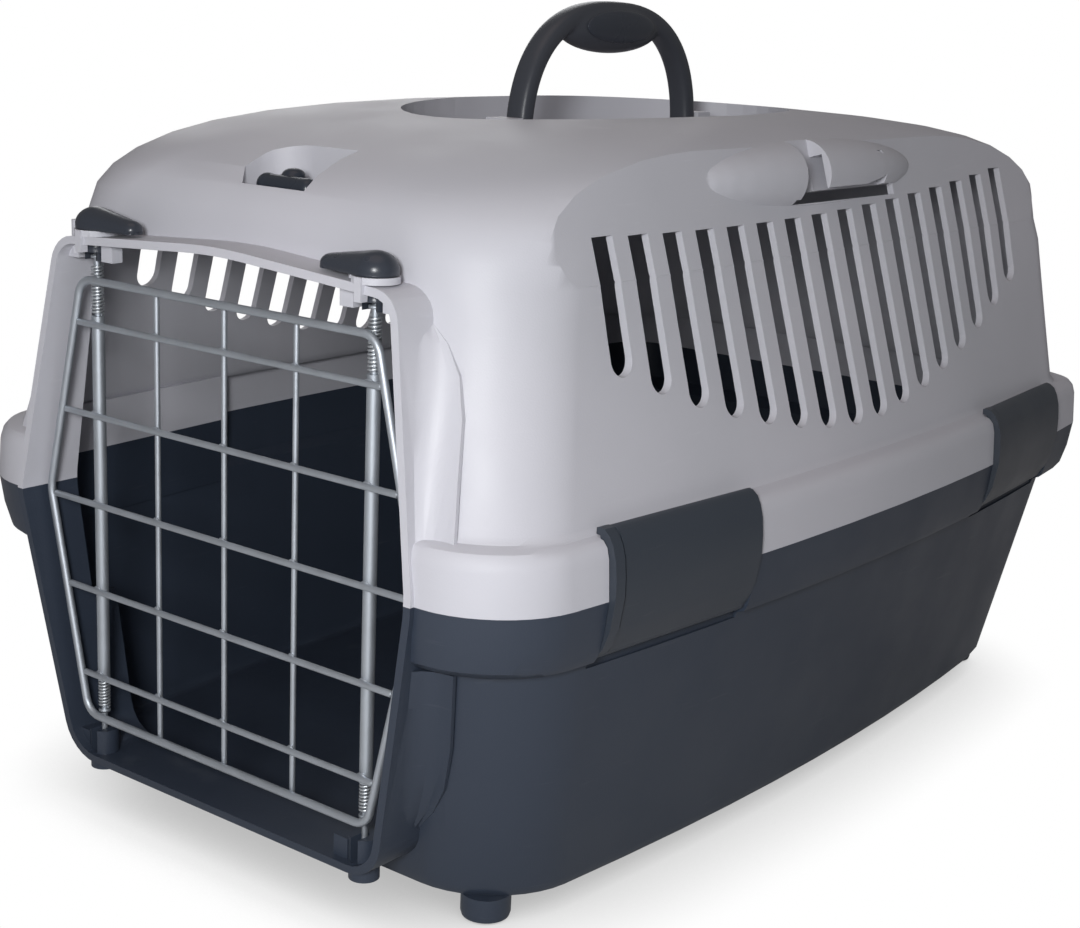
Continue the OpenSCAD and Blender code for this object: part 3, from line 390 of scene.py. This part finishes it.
# %% The bent bar
bpy.ops.object.select_all(action="DESELECT")
bpy.ops.curve.primitive_bezier_circle_add(radius=1)
section = bpy.context.object
section.scale = (LEG_W / 2, LEG_T / 2, 1)
place_in_mesh(section)
for point in section.data.splines[0].bezier_points:
    for side in ("handle_left", "handle_right"):
        setattr(point, side + "_type", "FREE")
        setattr(point, side, point.co + (getattr(point, side) - point.co) * SECTION_FULLNESS)

bpy.ops.object.select_all(action="DESELECT")
bpy.ops.curve.primitive_nurbs_path_add()
arch = bpy.context.object
arch.data.splines.clear()
spline = arch.data.splines.new("POLY")
spline.points.add(ARCH_STEPS)
for i in range(ARCH_STEPS + 1):
    spline.points[i].co = (*arch_point(i / ARCH_STEPS), 1)
arch.data.dimensions = "3D"
arch.data.bevel_mode = "OBJECT"
arch.data.bevel_object = section
arch.data.use_fill_caps = True
only(arch)
bpy.ops.object.convert(target="MESH")
arch = place_in_mesh(bpy.context.object)
bpy.data.objects.remove(section)
print("arch", len(arch.data.polygons), "faces")


# %% The grip and the hinge ends
DRUM_SIDES = 48
STUB_R, STUB_L, STUB_OUT = 2.9 * MM, 10 * MM, 2 * MM


def ball(at, half, segments=48):
    bpy.ops.object.select_all(action="DESELECT")
    bpy.ops.mesh.primitive_uv_sphere_add(segments=segments, ring_count=segments // 2, radius=1,
                                         location=at)
    obj = bpy.context.object
    obj.scale = half
    return place_in_mesh(obj)


def drum(at, radius, depth, along="Z"):
    turned = {"X": (0, math.pi / 2, 0), "Y": (math.pi / 2, 0, 0), "Z": (0, 0, 0)}[along]
    bpy.ops.object.select_all(action="DESELECT")
    bpy.ops.mesh.primitive_cylinder_add(vertices=DRUM_SIDES, radius=radius, depth=depth,
                                        location=at, rotation=turned)
    return place_in_mesh(bpy.context.object)


parts = [arch, ball(GRIP_AT, GRIP_HALF)]
for side in (-1, 1):
    parts.append(drum((0, side * (HANDLE_HALF - LEG_T / 2), HINGE_Z), LEG_W / 2, LEG_T, "Y"))
    parts.append(drum((0, side * (HANDLE_HALF + STUB_OUT), HINGE_Z), STUB_R, STUB_L, "Y"))
handle = join("carry_handle_moulding", *parts)
melt(handle, voxel=0.7, rounds=8)
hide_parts("carry_handle", "handle_grip")
finish_piece(handle, handle_plastic, "handle")
print("handle", len(handle.data.polygons), "faces")

# %% [markdown]
# On each side of the grip lies a shallow pad of a glossier plastic, as a flattened ball that stands
# out of the grip by a little.

# %% Grip pads
PAD_OUT, PAD_LIFT, PAD_HALF = 7.2 * MM, 0.4 * MM, Vector((2.2, 25, 7.2)) * MM
for side, name in ((-1, "grip_pad_left"), (1, "grip_pad_right")):
    pad = ball(GRIP_AT + Vector((side * PAD_OUT, 0, PAD_LIFT)), PAD_HALF, 64)
    smooth(pad, PIECE_ANGLE)
    pad.name = name
    finish_piece(pad, lever_plastic, "handle")

# %% [markdown]
# ## Door levers
#
# Each lever is a domed knob that runs out into a short arm, like a drop of water lying on its side.
# A large and a small ball wrapped in one skin give that form, and a cut makes the underside flat.

# %% Levers
ROD_X, ROD_Y = 73.7 * MM, -227.5 * MM
ARM_L, TIP_R = 25 * MM, 4.4 * MM
CAP_H = 8.4 * MM
KNOB_HALF, KNOB_LIFT = Vector((8.1, 8.1, 6.8)) * MM, 1.6 * MM
TIP_HALF, TIP_LIFT = Vector((4.4, 4.4, 3.7)) * MM, 1.4 * MM
SHAFT_OVERLAP = 1 * MM
for node, x, inward in (("lever_left", -ROD_X, 1), ("lever_right", ROD_X, -1)):
    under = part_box(node)[1].z - CAP_H
    knob = ball((x, ROD_Y, under + KNOB_LIFT), KNOB_HALF, 64)
    tip = ball((x + inward * (ARM_L - TIP_R), ROD_Y, under + TIP_LIFT), TIP_HALF, 48)
    cap = join(node + "_cap", knob, tip)
    edit_whole(cap)
    bpy.ops.mesh.convex_hull(delete_unused=True, use_existing_faces=False, join_triangles=False)
    bpy.ops.mesh.select_all(action="SELECT")
    bpy.ops.mesh.bisect(plane_co=(0, 0, under), plane_no=(0, 0, 1), use_fill=True, clear_inner=True)
    bpy.ops.object.mode_set(mode="OBJECT")
    melt(cap, voxel=0.4, rounds=4)
    finish_piece(cap, lever_plastic, body_of_node[node])
    shaft = soften(node, node + "_shaft")
    edit_whole(shaft)
    bpy.ops.mesh.bisect(plane_co=(0, 0, under + SHAFT_OVERLAP), plane_no=(0, 0, 1), use_fill=True,
                        clear_outer=True)
    bpy.ops.object.mode_set(mode="OBJECT")
    finish_piece(shaft, lever_plastic, body_of_node[node])
    print(node, "cap", len(cap.data.polygons), "faces")

# %% [markdown]
# ## Strap hooks
#
# A hook is a thick rounded bar on a short post at the bottom of its pocket. The foot, the post and
# the bar are put together from drums and balls and melted into one piece.

# %% Hooks
BAR_IN, BAR_UP, BAR_R, BAR_L, BAR_SHIFT = 5.5 * MM, 6.6 * MM, 4.0 * MM, 21 * MM, 1.5 * MM
POST_BACK, POST_R, POST_H = 4.5 * MM, 4.4 * MM, 11 * MM
NECK_R, NECK_L = 3.4 * MM, 5 * MM
PAD_R, PAD_T, PAD_SHIFT = 5.8 * MM, 2.4 * MM, 2 * MM
NEAR_END_X, NEAR_END_HALF = -9 * MM, Vector((4.4, 4.4, 4.4)) * MM
FAR_END_X, FAR_END_HALF = 12 * MM, Vector((3.4, 4.0, 4.0)) * MM
POST_TOP_UP, POST_TOP_HALF = 10.6 * MM, Vector((4.4, 4.4, 2.6)) * MM
for node, sy in (("strap_hook_front", -1), ("strap_hook_rear", 1)):
    low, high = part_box(node)
    bar_y = low.y + BAR_IN if sy < 0 else high.y - BAR_IN
    bar_z = low.z + BAR_UP
    post_y = bar_y - sy * POST_BACK
    parts = [drum((BAR_SHIFT, bar_y, bar_z), BAR_R, BAR_L, "X"),
             ball((NEAR_END_X, bar_y, bar_z), NEAR_END_HALF),
             ball((FAR_END_X, bar_y, bar_z), FAR_END_HALF),
             drum((0, post_y, low.z + POST_H / 2), POST_R, POST_H),
             ball((0, post_y, low.z + POST_TOP_UP), POST_TOP_HALF),
             drum((0, (bar_y + post_y) / 2, bar_z), NECK_R, NECK_L, "Y"),
             drum((PAD_SHIFT, bar_y, low.z + PAD_T / 2), PAD_R, PAD_T)]
    hook = join(node + "_moulding", *parts)
    melt(hook, voxel=0.45, rounds=6)
    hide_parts(node)
    finish_piece(hook, hook_plastic, "carrier")
    print(node, len(hook.data.polygons), "faces")

# %% [markdown]
# ## Spot welds
#
# Where two wires cross they are pressed together and welded, and a small flattened bead of melted
# steel stands at every crossing. The box of the cross wires gives the middle of the pattern, and
# the pitches of the wires give the rest.

# %% Weld beads
low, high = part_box("door_cross_wires")
cross_y = (low.y + high.y) / 2
THIN_PITCH, CROSS_PITCH, CROSS_N = 37.4 * MM, 36.3 * MM, 5
THIN_BEAD, THIN_BEAD_OUT = Vector((1.9, 0.9, 1.7)) * MM, 1.2 * MM
TUBE_BEAD, TUBE_BEAD_OUT = Vector((2.3, 0.8, 1.7)) * MM, 1.3 * MM
BEAD_SEGMENTS = 12
cross_mid_z = (low.z + high.z) / 2
beads = []
for row in range(CROSS_N):
    z = cross_mid_z + (row - (CROSS_N - 1) / 2) * CROSS_PITCH
    for column in (-1, 0, 1):
        at = (column * THIN_PITCH, cross_y + THIN_BEAD_OUT, z)
        beads.append(ball(at, THIN_BEAD, BEAD_SEGMENTS))
    for x in (-ROD_X, ROD_X):
        beads.append(ball((x, cross_y + TUBE_BEAD_OUT, z), TUBE_BEAD, BEAD_SEGMENTS))
welds = join("door_spot_welds", *beads)
smooth(welds, PIECE_ANGLE)
finish_piece(welds, zinc_wire, "door")
print("welds", len(welds.data.polygons), "faces")

# %% [markdown]
# ## Floor, light and background
#
# The photograph is a flash picture cut out on white: one strong light beside the camera, which
# falls off quickly along the side, and a weak warm light from the ceiling on the roof. A fill lamp
# behind keeps the far side readable. The camera sees the floor as white with a soft painted shadow
# under the carrier, an emission dimmed by ambient occlusion, while the carrier gets only ordinary
# light.

# %% Floor
FLOOR_SIZE, SHADOW_REACH, SHADOW_LEVEL, SHADOW_END = 30, 0.07, 0.42, 0.8
bpy.ops.object.select_all(action="DESELECT")
bpy.ops.mesh.primitive_plane_add(size=FLOOR_SIZE, location=(0, 0, 0))
floor = bpy.context.object
floor.name = "studio_floor"
floor_mat = bpy.data.materials.new("studio_floor")
floor_mat.use_nodes = True
nodes, links = floor_mat.node_tree.nodes, floor_mat.node_tree.links
nodes.clear()
surface = nodes.new("ShaderNodeOutputMaterial")
paper = nodes.new("ShaderNodeBsdfDiffuse")
paper.inputs["Color"].default_value = (0.7, 0.7, 0.7, 1)
# Painted shadow: ambient occlusion dims the floor's white emission near the carrier, down to
# SHADOW_LEVEL.
painted_shadow_occlusion = nodes.new("ShaderNodeAmbientOcclusion")
painted_shadow_occlusion.inputs["Distance"].default_value = SHADOW_REACH
painted_shadow_occlusion.samples = 16
painted_shadow_fade = nodes.new("ShaderNodeMapRange")
painted_shadow_fade.inputs["From Min"].default_value = 0.0
painted_shadow_fade.inputs["From Max"].default_value = SHADOW_END
painted_shadow_fade.inputs["To Min"].default_value = SHADOW_LEVEL
painted_shadow_fade.inputs["To Max"].default_value = 1.0
links.new(painted_shadow_occlusion.outputs["AO"], painted_shadow_fade.inputs["Value"])
painted_shadow_glow = nodes.new("ShaderNodeEmission")
painted_shadow_glow.inputs["Color"].default_value = (1, 1, 1, 1)
links.new(painted_shadow_fade.outputs["Result"], painted_shadow_glow.inputs["Strength"])
rays = nodes.new("ShaderNodeLightPath")
seen = nodes.new("ShaderNodeMixShader")
links.new(rays.outputs["Is Camera Ray"], seen.inputs["Fac"])
links.new(paper.outputs["BSDF"], seen.inputs[1])
links.new(painted_shadow_glow.outputs["Emission"], seen.inputs[2])
links.new(seen.outputs["Shader"], surface.inputs["Surface"])
floor.data.materials.append(floor_mat)
print("floor", FLOOR_SIZE, "m wide")

# %% [markdown]
# The camera sees a plain white world, and everything else gets a faint cool light from it.

# %% World
AMBIENT_LEVEL = 0.20
world = bpy.data.worlds.new("studio")
bpy.context.scene.world = world
world.use_nodes = True
nodes, links = world.node_tree.nodes, world.node_tree.links
nodes.clear()
sky = nodes.new("ShaderNodeOutputWorld")
ambient = nodes.new("ShaderNodeBackground")
ambient.inputs["Color"].default_value = (0.97, 0.98, 1.0, 1)
ambient.inputs["Strength"].default_value = AMBIENT_LEVEL
white = nodes.new("ShaderNodeBackground")
white.inputs["Color"].default_value = (1, 1, 1, 1)
white.inputs["Strength"].default_value = 1.0
rays = nodes.new("ShaderNodeLightPath")
choose = nodes.new("ShaderNodeMixShader")
links.new(rays.outputs["Is Camera Ray"], choose.inputs["Fac"])
links.new(ambient.outputs["Background"], choose.inputs[1])
links.new(white.outputs["Background"], choose.inputs[2])
links.new(choose.outputs["Shader"], sky.inputs["Surface"])

# %% [markdown]
# The three lamps are round area lamps, each aimed at a point of the carrier: the flash beside the
# camera, the warm ceiling above, and the fill behind on the far side.

# %% Lamps
def soft_lamp(name, location, target, size, power, colour):
    bpy.ops.object.select_all(action="DESELECT")
    bpy.ops.object.light_add(type="AREA", location=location)
    lamp = bpy.context.object
    lamp.name = name
    lamp.data.shape = "DISK"
    lamp.data.size = size
    lamp.data.energy = power
    lamp.data.color = colour
    aim = Vector(target) - Vector(location)
    lamp.rotation_mode = "QUATERNION"
    lamp.rotation_quaternion = aim.to_track_quat("-Z", "Y")
    print(name, power, "W at", location)


soft_lamp("flash", location=(0.46, -0.80, 0.40), target=(0.02, -0.1, 0.16), size=0.16, power=4.8,
          colour=(0.98, 0.99, 1.0))
soft_lamp("ceiling", location=(0.1, -0.3, 1.9), target=(0, 0, 0.2), size=1.6, power=3.0,
          colour=(1.0, 0.76, 0.66))
soft_lamp("far_fill", location=(-1.1, 1.0, 0.7), target=(0, 0, 0.15), size=0.9, power=4.0,
          colour=(0.97, 0.98, 1.0))

bpy.context.scene.view_settings.view_transform = "Standard"
